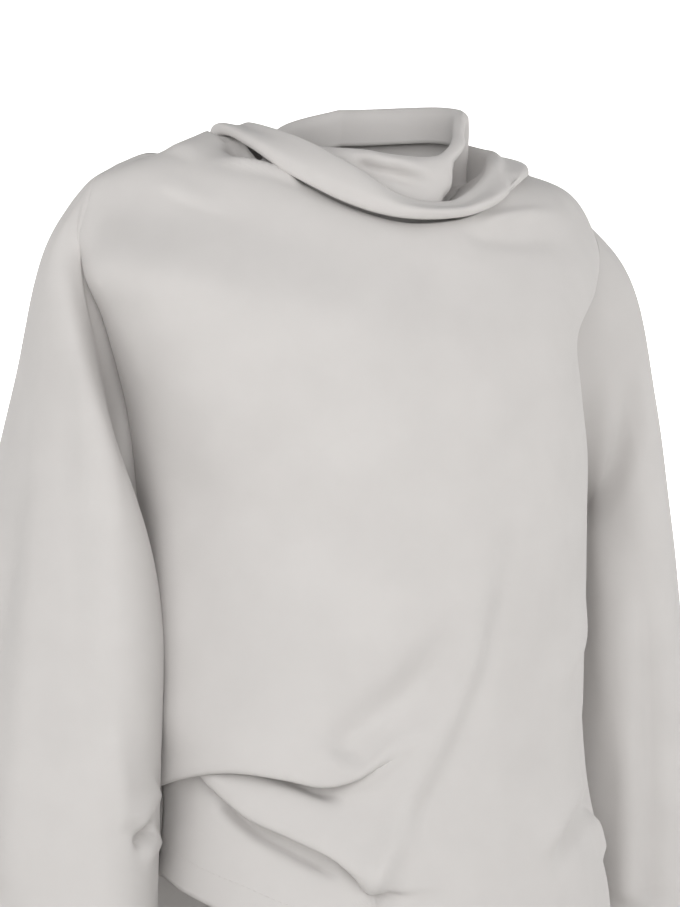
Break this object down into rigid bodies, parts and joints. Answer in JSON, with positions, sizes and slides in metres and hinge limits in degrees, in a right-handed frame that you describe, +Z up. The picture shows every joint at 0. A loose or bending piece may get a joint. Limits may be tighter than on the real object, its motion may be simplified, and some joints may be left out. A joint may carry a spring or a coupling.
{
  "type": "cowl-neck top",
  "caption": "Loose draped top with a high folded cowl neck, wide long sleeves and a tucked, slanting hem, hanging as it is worn.",
  "frame": {"origin": "centre of the neck base, level with the top of the shoulders, where the garment is held", "axes": "+Z up, -Y towards the wearer's front, -X towards the wearer's right"},
  "size_m": [0.607, 0.3422, 0.6651],
  "materials": {
    "crepe": "smooth matt heavy crepe"
  },
  "bodies": {
    "root": {"front": "crepe", "back": "crepe", "sleeve_right": "crepe", "sleeve_left": "crepe", "cowl_roll": "crepe", "cowl_funnel": "crepe"}
  },
  "joints": []
}
